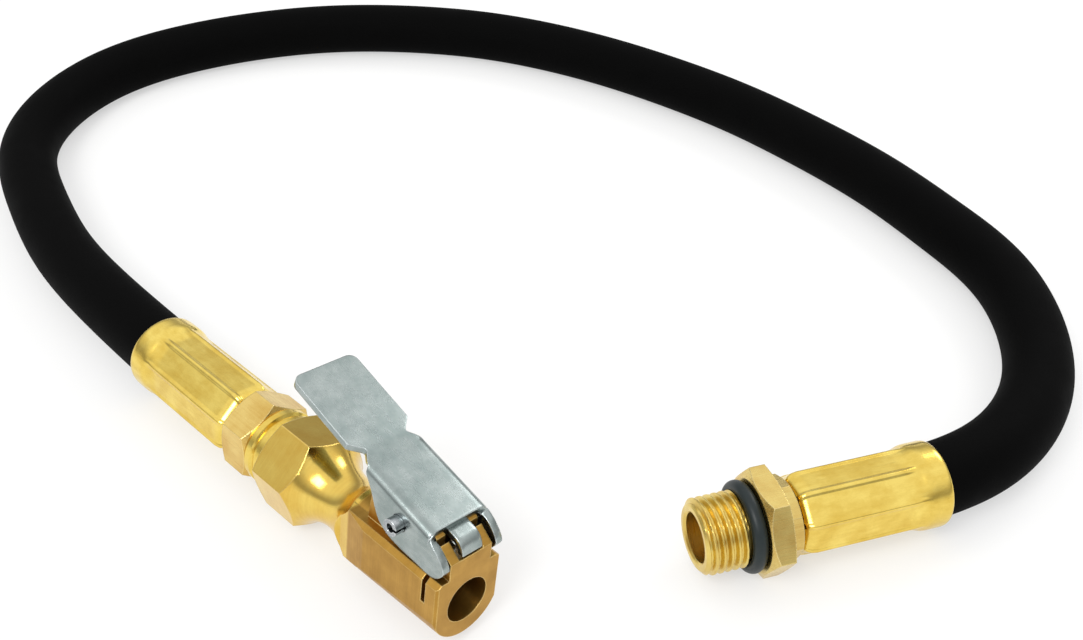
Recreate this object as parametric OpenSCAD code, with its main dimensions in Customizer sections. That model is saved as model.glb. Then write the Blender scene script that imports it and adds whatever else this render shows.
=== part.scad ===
// Tyre inflator whip hose: threaded inlet, rubber hose, clip-on chuck. Millimetres, +Z up.
// Origin: centre of the inlet thread's inner end. The thread points along -X.

/* [Hose] */
// Outside diameter of the hose
hose_od = 13.2; // [12.6:0.1:13.6]
// Bore of the hose
hose_bore = 6.4; // [6.2:0.1:6.8]
// Wall of the inner tube
liner_wall = 1.1; // [0.8:0.1:1.3]
// Thickness of the textile braid
braid_wall = 0.8; // [0.5:0.1:1]

/* [Inlet fitting] */
// Outside diameter of the thread
thread_d = 13.16; // [12.8:0.01:13.4]
// Length of the thread
thread_len = 7.6; // [7:0.1:9]
// Hexagon across its flats
inlet_hex = 17; // [16:0.5:18]
// Section of the sealing ring
ring_section = 2.6; // [2.2:0.1:2.65]

/* [Ferrules] */
// Length of the chuck's ferrule
ferrule_len = 29.6; // [27:0.1:29.8]
// Length of the inlet's ferrule
inlet_ferrule_len = 27; // [26:0.1:29.8]
// Diameter of a ferrule over its bell mouth
bell_d = 15.2; // [15:0.1:15.6]
// Number of crimped flutes
flutes = 8; // [6:1:10]

/* [Chuck] */
// Hexagon of the hose tail across its flats
tail_hex = 14; // [13.5:0.5:15]
// Hexagon of the chuck body across its flats
body_hex = 16; // [15.5:0.5:17]
// Bore that slips over the tyre valve
valve_bore = 8.2; // [8:0.05:8.4]
// Least diameter of the turned waist
waist_d = 10.4; // [9.6:0.1:11.4]
// Width across the flats of the head
head_w = 13.4; // [13.2:0.1:14]

/* [Clip lever] */
// Thickness of the steel sheet
sheet = 1.3; // [1:0.1:1.4]
// Outside width of the channel
lever_w = 12.4; // [12.2:0.1:12.8]
// Diameter of the pivot pin
pin_d = 3; // [2.6:0.1:3.2]
// Slope of the lever at rest, degrees
lever_slope = 14.2; // [13.5:0.1:15]
// Upward bend of the thumb plate, degrees
thumb_bend = 3.4; // [0:0.2:8]

/* [Hidden] */
$fn = 64;
eps = 0.02;

brass = [0.80, 0.66, 0.30];
bright = [0.86, 0.74, 0.36];
steel = [0.72, 0.76, 0.78];
rubber = [0.06, 0.06, 0.06];
nitrile = [0.12, 0.17, 0.17];
textile = [0.55, 0.53, 0.48];

// Stations along the inlet, from the thread's inner end
seal_face = 2.7;
inlet_hex_end = seal_face + 4.1;
neck_end = 10;
inlet_ferrule_x = 9.6;
inlet_ferrule_turn = -5.7;
inlet_mouth = inlet_ferrule_x + inlet_ferrule_len;
thread_r = thread_d / 2;

// Stations along the chuck, from the hose to the mouth
chuck_pos = [-89.3, 76.2, 0.65];
chuck_yaw = -61.5;
chuck_roll = -9.2;
ferrule_at = 2.4;
nut_a = ferrule_at + ferrule_len + 0.1;
nut_b = 39.2;
washer_b = 43.6;
male_end = 47.6;
hex_end = 56;
seat_x = 55.4;
seal_a = 70.8;
seal_b = 74;
mouth_x = 89.1;
nut_turn = 1.5;
hex_turn = 18.9;

// Turned waist between the hexagon and the head
waist_x = 59.7;
waist_groove_r = 8.9;
waist_r = waist_d / 2;

// Head, ridge and the cuts for the clip
shoulder_z = 6.2;
ridge_w = 8.6;
ridge_z = 14.1;
ridge_front = [84.4, 86.7, 11.25, 9.35];
slot_a = 83.6;
slot_b = 88.6;
slot_w = 5;
lip_z = 9.3;
slit_a = 85.5;
slit_b = 86.4;
slit_z = 1.2;

// Pivot of the clip lever, in the chuck's own frame
pivot = [78.9, 0, 12];
plate_top = 3.7;
leg_tip = -6.15;
pin_span = [-8, 6.4];

// Height of the plate's underside over the pivot, less a working gap, and along its slope
plate_rest = pivot[2] + (plate_top - sheet) / cos(lever_slope) - 0.06;
function rest_z(x) = plate_rest - (x - pivot[0]) * tan(lever_slope);

// Coil springs: axis place, mean radius, wire radius, turns
clip_spring_x = 73.4;
clip_spring_z = [9.4, 15.3];
clip_pocket_r = 2;
poppet_flange = 52.5;
poppet_spring_x = [male_end, poppet_flange];
wire_r = 0.25;
coil_sides = 6;
coil_steps = 10;

// Hose
hose_sides = 12;
steps = 2;
round_up = 1.0115;
crimp = 0.9;
floor_z = -inlet_hex / 2;
lie_z = floor_z + hose_od / 2 * round_up * cos(180 / hose_sides);
end_depth = ferrule_len - 2.8;
inlet_depth = inlet_ferrule_len - 2.8;

// Unit vector out of the chuck's ferrule, back along the hose
back = [-cos(chuck_yaw), -sin(chuck_yaw), 0];
chuck_mouth = chuck_pos - back * ferrule_at;

route = [
    [inlet_mouth - inlet_depth - 12, 0, 0],
    [inlet_mouth - inlet_depth, 0, 0],
    [24, 0, 0],
    [36, 0, 0],
    [54, 3, -0.3],
    [75, 20, lie_z],
    [86, 50, lie_z],
    [82, 72, lie_z],
    [78, 94, lie_z],
    [69, 117, lie_z],
    [60, 137, lie_z],
    [47, 157, lie_z],
    [33, 175, lie_z],
    [15, 192, lie_z],
    [-3, 203, lie_z],
    [-26, 212, lie_z],
    [-48, 215, lie_z],
    [-72, 213, lie_z],
    [-94, 205, lie_z],
    [-110, 187, lie_z],
    [-117, 165, lie_z],
    [-113, 142, lie_z],
    [-108, 119, lie_z],
    [-98.5, 96, -0.6],
    chuck_mouth - back * 3,
    chuck_mouth - back * 14,
    chuck_mouth - back * end_depth,
    chuck_mouth - back * (end_depth + 11)
];

// A smooth path: each four route points carry one stretch of a cubic spline
function spline(p, u) =
    (pow(1 - u, 3) * p[0] + (3 * pow(u, 3) - 6 * u * u + 4) * p[1]
    + (-3 * pow(u, 3) + 3 * u * u + 3 * u + 1) * p[2] + pow(u, 3) * p[3]) / 6;
function stretch(i) = [for (k = [0:3]) route[i + k]];
path = [
    for (i = [0:len(route) - 4], k = [0:steps - 1]) spline(stretch(i), k / steps),
    spline(stretch(len(route) - 4), 1)
];
function unit(v) = v / norm(v);
function heading(p, i) = unit(p[min(i + 1, len(p) - 1)] - p[max(i - 1, 0)]);
function side_of(t) = unit(cross(t, [0, 0, 1]));
function ring(c, t, r, n, turn) = [
    for (k = [0:n - 1])
        let (a = (k + turn) * 360 / n, s = side_of(t))
            c + r * cos(a) * s + r * sin(a) * cross(s, t)
];

// The hose is squeezed where the ferrules grip it
function gripped(i) =
    norm(path[i] - path[0]) < inlet_depth - 4
    || norm(path[i] - path[len(path) - 1]) < end_depth - 4;
function squeeze(i) = gripped(i) ? crimp : 1;

// Triangles of a tube wall between an outer and an inner skin
function quad(a, b, c, d) = [[a, b, c], [a, c, d]];
function wall_faces(rings, n) = [
    for (i = [0:rings - 2], k = [0:n - 1])
        let (m = (k + 1) % n, o = rings * n)
            each concat(
                quad(i * n + k, i * n + m, (i + 1) * n + m, (i + 1) * n + k),
                quad(o + i * n + m, o + i * n + k, o + (i + 1) * n + k, o + (i + 1) * n + m)),
    for (k = [0:n - 1])
        let (m = (k + 1) % n, o = rings * n, e = (rings - 1) * n)
            each concat(
                quad(k, o + k, o + m, m),
                quad(e + m, o + e + m, o + e + k, e + k))
];

module hose_layer(outer, inner) {
    n = hose_sides;
    skins = [
        for (r = [outer, inner], i = [0:len(path) - 1])
            each ring(path[i], heading(path, i), r * round_up * squeeze(i), n, 0.5)
    ];
    polyhedron(points = skins, faces = wall_faces(len(path), n), convexity = 8);
}

// A coil spring: a helix of round wire, its end turns drawn close
function coil_pitch(u, turns) =
    let (c = 0.9 / turns)
        u < c ? u * 0.35
        : u > 1 - c ? 1 - (1 - u) * 0.35
        : 0.35 * c + (u - c) * (1 - 0.7 * c) / (1 - 2 * c);
module coil(length, mean_r, wire, turns) {
    n = coil_sides;
    count = turns * coil_steps;
    line = [
        for (i = [0:count])
            let (a = 360 * i / coil_steps, z = wire + (length - 2 * wire) * coil_pitch(i / count, turns))
                [mean_r * cos(a), mean_r * sin(a), z]
    ];
    points = [
        for (i = [0:count])
            let (a = 360 * i / coil_steps, out = [cos(a), sin(a), 0])
                each [
                    for (k = [0:n - 1])
                        line[i] + wire * (cos(k * 360 / n) * out + [0, 0, sin(k * 360 / n)])
                ]
    ];
    faces = [
        for (i = [0:count - 1], k = [0:n - 1])
            let (m = (k + 1) % n)
                each quad(i * n + k, (i + 1) * n + k, (i + 1) * n + m, i * n + m),
        for (k = [1:n - 2]) [0, k, k + 1],
        for (k = [1:n - 2]) [count * n, count * n + k + 1, count * n + k]
    ];
    polyhedron(points = points, faces = faces, convexity = 8);
}

// Turned and prismatic shapes along X
module turned(profile) {
    rotate([0, 90, 0])
        rotate_extrude()
            polygon([for (p = profile) [p[1], p[0]]]);
}
module rod(a, b, r) {
    translate([a, 0, 0])
        rotate([0, 90, 0])
            cylinder(h = b - a, r = r);
}
module prism(a, b, flats, sides, turn) {
    translate([a, 0, 0])
        rotate([turn, 0, 0])
            rotate([0, 90, 0])
                cylinder(h = b - a, r = flats / 2 / cos(180 / sides), $fn = sides);
}
module chamfered_hex(a, b, flats, turn, front, rear) {
    corner = flats / 2 / cos(30);
    intersection() {
        prism(a, b, flats, 6, turn);
        turned([
            [a, 0], [a, flats / 2 - front / 3], [a + front, corner + eps],
            [b - rear, corner + eps], [b, flats / 2 - rear / 3], [b, 0]
        ]);
    }
}

// Crimped ferrule: bell mouth at x = 0, shoulder at the far end
module ferrule(length) {
    bell_r = bell_d / 2;
    body_r = bell_r - 0.25;
    flat_r = body_r - 0.62;
    die_r = 11;
    wall_x = length - 2;
    grip_r = hose_od / 2 * round_up * crimp + eps;
    difference() {
        turned([
            [0.5, 0], [0, bell_r - 0.6], [0.35, bell_r - 0.25], [1, bell_r - 0.1], [2, bell_r], [3.4, bell_r],
            [5, body_r], [length - 1.6, body_r], [length - 0.5, body_r - 0.5],
            [length, body_r - 1.3], [length, 0]
        ]);
        turned([
            [-1, 0], [-1, hose_od / 2 + 0.35], [1.2, hose_od / 2 + 0.2],
            [4.6, grip_r], [wall_x, grip_r], [wall_x, 0]
        ]);
        rod(wall_x - 1, length + 1, 4.4);
        for (k = [0:flutes - 1])
            rotate([(k + 0.5) * 360 / flutes, 0, 0])
                translate([0, 0, flat_r + die_r])
                    turned([[4.2, 0], [8.4, die_r], [length + 1, die_r], [length + 1, 0]]);
    }
}

// Barbed stem that the hose is pushed over: its tip is at a, its root at b
module barbed_stem(a, b) {
    crest = hose_bore / 2 * crimp * cos(180 / hose_sides) * round_up;
    root = crest - 0.45;
    pitch = 3.6;
    union() {
        rod(a, b, root);
        for (k = [0:5])
            translate([a + k * pitch, 0, 0])
                turned([[0, 0], [0, root - 0.1], [2.8, crest], [3.2, crest], [3.2, 0]]);
    }
}

module place_chuck() {
    translate(chuck_pos)
        rotate([0, 0, chuck_yaw])
            rotate([chuck_roll, 0, 0])
                children();
}
module place_lever() {
    place_chuck()
        translate(pivot)
            rotate([0, lever_slope, 0])
                children();
}

module hose_cover() {
    color(rubber)
        hose_layer(hose_od / 2, hose_bore / 2 + liner_wall + braid_wall);
}
module hose_braid() {
    color(textile)
        hose_layer(hose_bore / 2 + liner_wall + braid_wall, hose_bore / 2 + liner_wall);
}
module hose_liner() {
    color(nitrile)
        hose_layer(hose_bore / 2 + liner_wall, hose_bore / 2);
}

module inlet_fitting() {
    under_r = thread_r - 0.95;
    color(brass)
        difference() {
            union() {
                turned([
                    [-thread_len, 0], [-thread_len, thread_r - 1], [-thread_len + 0.9, thread_r],
                    [0, thread_r], [0, under_r], [seal_face + 1, under_r], [seal_face + 1, 0]
                ]);
                chamfered_hex(seal_face, inlet_hex_end, inlet_hex, 30, 1, 0.4);
                prism(inlet_hex_end - 1, neck_end - 0.8, 13.7, 8, 0);
                rod(neck_end - 1, inlet_ferrule_x + 2.4, 4.38);
                translate([inlet_mouth - 2.4, 0, 0])
                    mirror([1, 0, 0])
                        barbed_stem(0, inlet_ferrule_len - 4);
            }
            rod(-thread_len - 1, -1.4, 4.3);
            turned([[-1.5, 0], [-1.5, 4.3], [0.6, 1.7], [0.6, 0]]);
            rod(0, inlet_mouth + 1, 1.7);
            turned([
                [-thread_len - 0.5, 0], [-thread_len - 0.5, 5.2], [-thread_len + 0.4, 4.3],
                [-thread_len + 0.4, 0]
            ]);
        }
}

module inlet_o_ring() {
    section_r = ring_section / 2;
    color(nitrile)
        translate([seal_face / 2, 0, 0])
            rotate([0, 90, 0])
                rotate_extrude()
                    translate([thread_r - 0.95 + section_r + eps, 0])
                        circle(r = section_r, $fn = 32);
}

module inlet_ferrule() {
    color(bright)
        translate([inlet_mouth, 0, 0])
            rotate([inlet_ferrule_turn, 0, 0])
                mirror([1, 0, 0])
                    ferrule(inlet_ferrule_len);
}

module chuck_ferrule() {
    color(bright)
        place_chuck()
            translate([ferrule_at, 0, 0])
                ferrule(ferrule_len);
}

module chuck_tail() {
    color(brass)
        place_chuck()
            difference() {
                union() {
                    barbed_stem(ferrule_at + 2.4, nut_a - 1);
                    rod(nut_a - 2, nut_a + 1, 4.38);
                    chamfered_hex(nut_a, nut_b, tail_hex, nut_turn, 0.9, 0.9);
                    rod(nut_b - 1, male_end, 4.88);
                }
                rod(ferrule_at, male_end + 1, 1.7);
            }
}

module tail_washer() {
    color(bright)
        place_chuck()
            turned([
                [nut_b + eps, 4.95], [nut_b + eps, 6.9], [nut_b + 0.35, 7.25], [nut_b + 1.5, 7.25],
                [nut_b + 1.9, 6.7], [washer_b - 1.9, 6.7], [washer_b - 1.5, 7.25],
                [washer_b - 0.35, 7.25], [washer_b - eps, 6.9], [washer_b - eps, 4.95]
            ]);
}

// Side outline of the ridge that carries the pin; the lever's plate rests on its sloped front
module ridge() {
    flat_end = pivot[0] + (plate_rest - ridge_z) / tan(lever_slope);
    rotate([90, 0, 0])
        linear_extrude(height = ridge_w, center = true)
            polygon([
                [68.6, 0], [69.6, shoulder_z], [70.5, ridge_z - 1], [71.3, ridge_z], [flat_end, ridge_z],
                [ridge_front[0], rest_z(ridge_front[0])], [ridge_front[1], ridge_front[2]],
                [mouth_x, ridge_front[3]], [mouth_x, 0]
            ]);
}

// Head outline across the axis: round below, flat sides, sloped shoulders
module head_section() {
    half = head_w / 2;
    union() {
        intersection() {
            circle(r = half + 0.6);
            translate([-half, -half - 2])
                square([head_w, half + 2.5]);
        }
        polygon([
            [-half, 0], [-half, shoulder_z - 0.8], [-half + 0.9, shoulder_z], [half - 0.9, shoulder_z],
            [half, shoulder_z - 0.8], [half, 0]
        ]);
    }
}

module chuck_blank() {
    half = head_w / 2;
    intersection() {
        union() {
            rod(52, 69, half + 0.6);
            // The head tapers a little below, towards the mouth
            intersection() {
                translate([65.2, 0, 0])
                    rotate([90, 0, 90])
                        linear_extrude(height = mouth_x - 65.2)
                            head_section();
                union() {
                    turned([[60, 0], [60, half + 0.75], [mouth_x, half + 0.2], [mouth_x, 0]]);
                    translate([60, -10, 0])
                        cube([40, 20, 20]);
                }
            }
            ridge();
        }
        translate([0, 0, -20])
            linear_extrude(height = 50)
                polygon([
                    [50, -half - 1], [58, -half - 1], [64.2, -5.5], [71.3, -half], [mouth_x - 0.5, -half],
                    [mouth_x, -half + 0.4], [mouth_x, half - 0.4], [mouth_x - 0.5, half], [71.3, half],
                    [64.2, 5.5], [58, half + 1], [50, half + 1]
                ]);
    }
}

module chuck_body() {
    color(brass)
        place_chuck()
            difference() {
                union() {
                    chamfered_hex(washer_b, hex_end, body_hex, hex_turn, 0.9, 0.1);
                    chuck_blank();
                }
                // Turned waist
                translate([waist_x, 0, 0])
                    rotate([0, 90, 0])
                        rotate_extrude()
                            translate([waist_r + waist_groove_r, 0])
                                circle(r = waist_groove_r, $fn = 96);
                // Thread chamber, valve chamber and air passage
                rod(washer_b - 1, male_end + 0.6, 4.93);
                rod(male_end, seat_x, 3.6);
                rod(seat_x - 1, seal_a + 1, 1.7);
                // Seal recess and the bore for the tyre valve
                rod(seal_a, seal_b + 0.2, 4.6);
                rod(seal_b, mouth_x + 1, valve_bore / 2);
                // Slot for the tongue, and its low front wall
                translate([slot_a, -slot_w / 2, 0])
                    cube([slot_b - slot_a, slot_w, 20]);
                translate([slot_a, -slot_w / 2, lip_z])
                    cube([10, slot_w, 20]);
                // Saw slit across the head
                translate([slit_a, -10, slit_z])
                    cube([slit_b - slit_a, 20, 20]);
                // Pin hole and spring pocket
                translate(pivot)
                    rotate([90, 0, 0])
                        cylinder(h = 20, r = pin_d / 2, center = true);
                translate([clip_spring_x, 0, clip_spring_z[0]])
                    cylinder(h = 10, r = clip_pocket_r);
            }
}

module valve_seal() {
    color(rubber)
        place_chuck()
            difference() {
                rod(seal_a + eps, seal_b, 4.6 - eps);
                rod(seal_a - 1, seal_b + 1, 1.3);
                turned([[seal_b - 0.5, 0], [seal_b - 0.5, 2], [seal_b + eps, 2.6], [seal_b + eps, 0]]);
            }
}

module poppet() {
    color(steel)
        place_chuck()
            turned([
                [poppet_flange - 1.3, 0], [poppet_flange - 1.3, 1.6], [poppet_flange, 1.6],
                [poppet_flange, 3.2], [poppet_flange + 1.5, 3.2], [poppet_flange + 1.5, 1.1],
                [73, 1.1], [73.3, 0.8], [73.3, 0]
            ]);
}

module poppet_seal() {
    color(nitrile)
        place_chuck()
            difference() {
                rod(poppet_flange + 1.5, seat_x - 0.03, 3);
                rod(poppet_flange, seat_x + 1, 1.1);
            }
}

module poppet_spring() {
    color(steel)
        place_chuck()
            translate([poppet_spring_x[0], 0, 0])
                rotate([0, 90, 0])
                    coil(poppet_spring_x[1] - poppet_spring_x[0], 2.4, wire_r, 5);
}

module lever_spring() {
    color(steel)
        place_chuck()
            translate([clip_spring_x, 0, clip_spring_z[0]])
                coil(clip_spring_z[1] - clip_spring_z[0], 1.5, wire_r, 6);
}

// Slotted spring pin
module pivot_pin() {
    color(steel)
        place_chuck()
            translate(pivot)
                rotate([90, 0, 0])
                    difference() {
                        translate([0, 0, -pin_span[1]])
                            cylinder(h = pin_span[1] - pin_span[0], r = pin_d / 2 - eps);
                        cylinder(h = 20, r = pin_d / 2 - 0.7, center = true);
                        translate([0, -0.3, -10])
                            cube([pin_d, 0.6, 20]);
                    }
}

// Lever: a folded channel with a thumb plate, a tongue and two ears
module channel_section() {
    half = lever_w / 2;
    bend = sheet;
    difference() {
        union() {
            translate([-half + bend, -6])
                square([lever_w - 2 * bend, plate_top + 6]);
            translate([-half, -6])
                square([lever_w, plate_top + 6 - bend]);
            for (s = [-1, 1])
                translate([s * (half - bend), plate_top - bend])
                    circle(r = bend, $fn = 32);
        }
        translate([-half + sheet, -7])
            square([lever_w - 2 * sheet, plate_top + 7 - sheet]);
    }
}
module channel_outline() {
    polygon([
        [-9.2, plate_top + 1], [-9.2, 2.6], [-7.1, 0.4], [-4.7, -2.8], [-2.8, -4.1], [-0.3, -4.5],
        [2.2, -4.3], [5, -3.85], [7.8, -3.5], [9.1, -3.1], [10.2, -2.2], [11, -0.6], [11.3, 0.6],
        [11.4, 2.1], [11.1, 2.6], [10.6, 2.8], [7.6, 2.9], [7.1, 3.2], [6.9, plate_top + 1]
    ]);
}
module thumb_outline() {
    half = lever_w / 2;
    thumb_end = -29.5;
    r = 1.6;
    union() {
        polygon([
            [thumb_end + r, -half], [-14.4, -half], [-12.2, -half + 2.1], [-12.2, half - 2.1],
            [-14.4, half], [thumb_end + r, half]
        ]);
        translate([thumb_end, -half + r])
            square([r + eps, lever_w - 2 * r]);
        for (s = [-1, 1])
            translate([thumb_end + r, s * (half - r)])
                circle(r = r, $fn = 32);
    }
}
module tongue_outline() {
    curl = [7.2, -0.4];
    outer = 3.25;
    inner = outer - sheet;
    polygon([
        [5.1, curl[1] + inner], [7, curl[1] + inner], [7, leg_tip], [8.3, leg_tip],
        [8.3, curl[1] + sqrt(inner * inner - pow(8.3 - curl[0], 2))],
        for (a = [50:-6:8]) curl + inner * [cos(a), sin(a)],
        for (a = [8:6:86]) curl + outer * [cos(a), sin(a)],
        [curl[0], curl[1] + outer], [5.1, curl[1] + outer]
    ]);
}
module clip_lever() {
    half = lever_w / 2;
    tongue_w = 4;
    color(steel)
        place_lever()
            difference() {
                union() {
                    intersection() {
                        translate([-10, 0, 0])
                            rotate([90, 0, 90])
                                linear_extrude(height = 22)
                                    channel_section();
                        rotate([90, 0, 0])
                            linear_extrude(height = 30, center = true)
                                channel_outline();
                    }
                    // Neck between the notches
                    translate([0, 0, plate_top - sheet])
                        linear_extrude(height = sheet)
                            polygon([
                                [-12.3, -half + 2.1], [-9.1, -half + 0.1],
                                [-9.1, half - 0.1], [-12.3, half - 2.1]
                            ]);
                    // Thumb plate, bent up about the notches
                    translate([-12.2, 0, plate_top])
                        rotate([0, thumb_bend, 0])
                            translate([12.2, 0, -sheet])
                                linear_extrude(height = sheet)
                                    thumb_outline();
                    // Tongue: a strip under the plate, a leg down to the valve and a curled front
                    rotate([90, 0, 0])
                        linear_extrude(height = tongue_w, center = true)
                            tongue_outline();
                }
                // Pivot holes in the cheeks
                rotate([90, 0, 0])
                    cylinder(h = 20, r = pin_d / 2 + 0.04, center = true);
            }
}

inlet_fitting();
inlet_o_ring();
inlet_ferrule();
hose_cover();
hose_braid();
hose_liner();
chuck_ferrule();
chuck_tail();
tail_washer();
chuck_body();
valve_seal();
poppet();
poppet_seal();
poppet_spring();
clip_lever();
lever_spring();
pivot_pin();
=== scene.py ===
import math
import bpy
import numpy as np
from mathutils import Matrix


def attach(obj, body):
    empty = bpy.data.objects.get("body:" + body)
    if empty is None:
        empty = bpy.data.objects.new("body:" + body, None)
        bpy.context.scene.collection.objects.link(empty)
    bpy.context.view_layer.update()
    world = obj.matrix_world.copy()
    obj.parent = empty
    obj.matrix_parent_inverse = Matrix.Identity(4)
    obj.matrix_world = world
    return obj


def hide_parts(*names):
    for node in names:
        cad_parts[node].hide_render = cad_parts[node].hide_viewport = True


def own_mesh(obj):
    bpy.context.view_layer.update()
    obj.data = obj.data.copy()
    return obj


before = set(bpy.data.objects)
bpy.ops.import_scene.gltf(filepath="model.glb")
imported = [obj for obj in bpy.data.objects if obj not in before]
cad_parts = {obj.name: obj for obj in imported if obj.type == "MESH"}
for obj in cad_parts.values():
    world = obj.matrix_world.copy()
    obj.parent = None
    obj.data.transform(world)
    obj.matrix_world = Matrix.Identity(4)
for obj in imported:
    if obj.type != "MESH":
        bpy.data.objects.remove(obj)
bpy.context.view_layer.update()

mm = 0.001
tau = 2 * math.pi


# camera, at the height of someone looking down at a bench; mm and degrees
view = {"place": (-73.2, -130.1, 158.7), "downward": 38.16, "heading": 16.8, "lens": 42.35, "sensor": 36, "near": 10}


# unturned it looks straight down: tipped up by 90 less the downward angle, then turned clockwise to its heading
def addCamera():
    data = bpy.data.cameras.new("camera")
    data.sensor_width = view["sensor"]
    data.lens = view["lens"]
    data.clip_start = view["near"] * mm
    camera = bpy.data.objects.new("camera", data)
    camera.location = [v * mm for v in view["place"]]
    camera.rotation_euler = (math.radians(90 - view["downward"]), 0, math.radians(-view["heading"]))
    bpy.context.scene.collection.objects.link(camera)
    bpy.context.scene.camera = camera


addCamera()
print("camera placed")


# helpers for shapes: every piece is a grid of points, rows along it and columns round it
# a face joins point (row, column) with its neighbours one column on, one row on, and both
def gridFaces(rows, cols, loop):
    i = np.arange(rows if loop else rows - 1)[:, None]
    j = np.arange(cols)[None, :]
    a, b = i * cols + j, i * cols + (j + 1) % cols
    c, d = ((i + 1) % rows) * cols + (j + 1) % cols, ((i + 1) % rows) * cols + j
    return np.stack([a + 0 * b, b, c + 0 * b, d + 0 * b], axis=-1).reshape(-1, 4)


# grid is (rows, columns, 3); columns wrap round; loop joins the last row to the first, else each end gets a pole
# flip turns the faces over, and sharp is the least angle of a hard edge in degrees
def makePiece(name, grid, material, body, loop=True, flip=False, sharp=32):
    rows, cols = grid.shape[:2]
    verts = grid.reshape(-1, 3)
    faces = gridFaces(rows, cols, loop).tolist()
    if not loop:
        first, last = len(verts), len(verts) + 1
        verts = np.vstack([verts, grid[0].mean(axis=0), grid[-1].mean(axis=0)])
        ring = np.arange(cols)
        after = (ring + 1) % cols
        end = (rows - 1) * cols
        faces += np.stack([ring * 0 + first, after, ring], axis=-1).tolist()
        faces += np.stack([ring * 0 + last, end + ring, end + after], axis=-1).tolist()
    if flip:
        faces = [f[::-1] for f in faces]
    mesh = bpy.data.meshes.new(name)
    mesh.from_pydata(verts.tolist(), [], faces)
    mesh.polygons.foreach_set("use_smooth", np.ones(len(mesh.polygons), dtype=bool))
    mesh.set_sharp_from_angle(angle=math.radians(sharp))
    mesh.materials.append(material)
    mesh.update()
    piece = bpy.data.objects.new(name, mesh)
    bpy.context.scene.collection.objects.link(piece)
    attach(piece, body)
    return piece


# profile points (x, r) with extra stations, so that no stretch of it is longer than the given step
def denser(profile, step):
    p = np.array(profile, dtype=float)
    out = [p[:1]]
    for a, b in zip(p[:-1], p[1:]):
        count = max(1, int(math.ceil(np.linalg.norm(b - a) / step)))
        out.append(a + (b - a) * (np.arange(1, count + 1) / count)[:, None])
    return np.vstack(out)


# turned solid along x: point = (x, r cos angle, r sin angle); r is the profile's, or what shape(x, angle, r) gives
def turnedGrid(profile, cols, shape=None):
    x = profile[:, 0][:, None] + np.zeros(cols)[None, :]
    angle = (np.arange(cols) * tau / cols)[None, :] + np.zeros(len(profile))[:, None]
    r = profile[:, 1][:, None] + np.zeros(cols)[None, :]
    if shape is not None:
        r = shape(x, angle, r)
    return np.stack([x, r * np.cos(angle), r * np.sin(angle)], axis=-1) * mm


# distance from the axis to a polygon's side: half its flats over the cosine of the turn from that flat's middle
def polygonRadius(angle, flats, sides):
    part = tau / sides
    return flats / 2 / np.cos(angle % part - part / 2)


# the chuck's own frame: x along its bore towards the mouth, turned and rolled as it lies; mm and degrees
chuck = {"place": (-89.3, 76.2, 0.65), "yaw": -61.5, "roll": -9.2}


# turns by an angle about one axis, for points written as columns
def turnX(a):
    return np.array([[1, 0, 0], [0, math.cos(a), -math.sin(a)], [0, math.sin(a), math.cos(a)]])


def turnY(a):
    return np.array([[math.cos(a), 0, math.sin(a)], [0, 1, 0], [-math.sin(a), 0, math.cos(a)]])


def turnZ(a):
    return np.array([[math.cos(a), -math.sin(a), 0], [math.sin(a), math.cos(a), 0], [0, 0, 1]])


chuckTurn = turnZ(math.radians(chuck["yaw"])) @ turnX(math.radians(chuck["roll"]))


# points of the chuck's frame in the model's: turned, then moved to its place
def onChuck(points):
    return points @ chuckTurn.T + np.array(chuck["place"]) * mm


# helpers for materials
# hex code to linear colour: near black c / 12.92, else (c + 0.055) / 1.055 to the power 2.4
def srgb(code):
    c = np.array([int(code[i:i + 2], 16) for i in (1, 3, 5)]) / 255
    linear = np.where(c <= 0.04045, c / 12.92, ((c + 0.055) / 1.055) ** 2.4)
    return (*[float(v) for v in linear], 1.0)


def newMaterial(name):
    material = bpy.data.materials.new(name)
    material.use_nodes = True
    tree = material.node_tree
    tree.nodes.clear()
    return material, tree


# adds one node: settings are its properties, its inputs' values, or the stops of a ramp as (place, colour or grey);
# feeds are inputs by name, or by number as i0 and i1, each with a socket to link or a value
def addNode(tree, kind, settings=None, **feeds):
    node = tree.nodes.new(kind)
    for key, value in (settings or {}).items():
        if key == "stops":
            table = node.color_ramp.elements
            while len(table) < len(value):
                table.new(0.5)
            for element, (place, colour) in zip(table, value):
                element.position = place
                element.color = colour if isinstance(colour, tuple) else (colour, colour, colour, 1)
        elif key in node.inputs:
            node.inputs[key].default_value = value
        else:
            setattr(node, key, value)
    for key, source in feeds.items():
        socket = node.inputs[int(key[1:]) if key[1:].isdigit() else key.replace("_", " ")]
        if isinstance(source, bpy.types.NodeSocket):
            tree.links.new(source, socket)
        else:
            socket.default_value = source
    return node


# pattern coordinates in the piece's own place, turned onto the chuck where it lies there; the second result is them
# over the streak's size in mm along each axis
def patternSpace(tree, alongChuck, stretch):
    place = addNode(tree, "ShaderNodeTexCoord").outputs["Object"]
    if alongChuck:
        place = addNode(tree, "ShaderNodeMapping", {
            "vector_type": "TEXTURE", "Location": [v * mm for v in chuck["place"]],
            "Rotation": (math.radians(chuck["roll"]), 0, math.radians(chuck["yaw"]))}, Vector=place).outputs[0]
    streaks = addNode(tree, "ShaderNodeVectorMath", {"operation": "MULTIPLY"}, i0=place,
                      i1=[1 / (s * mm) for s in stretch])
    return place, streaks.outputs[0]


# every metal: the band of the noise that is used, how far the roughness swings about its value, the streaks' share
# of the tone, the bands of tone, rubbed edges with their painted highlight and dull spots; then sizes in mm
metal = {"band": (0.3, 0.7), "swing": 0.22, "farSwing": 0.15, "streakShare": 0.45, "toneBand": (0.55, 0.9),
         "rubbedAndHighlightBand": (0.84, 0.985), "spotBand": (0.5, 0.72), "spot": 1.3, "edgeRadius": 0.3, "change": 0.5}
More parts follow.
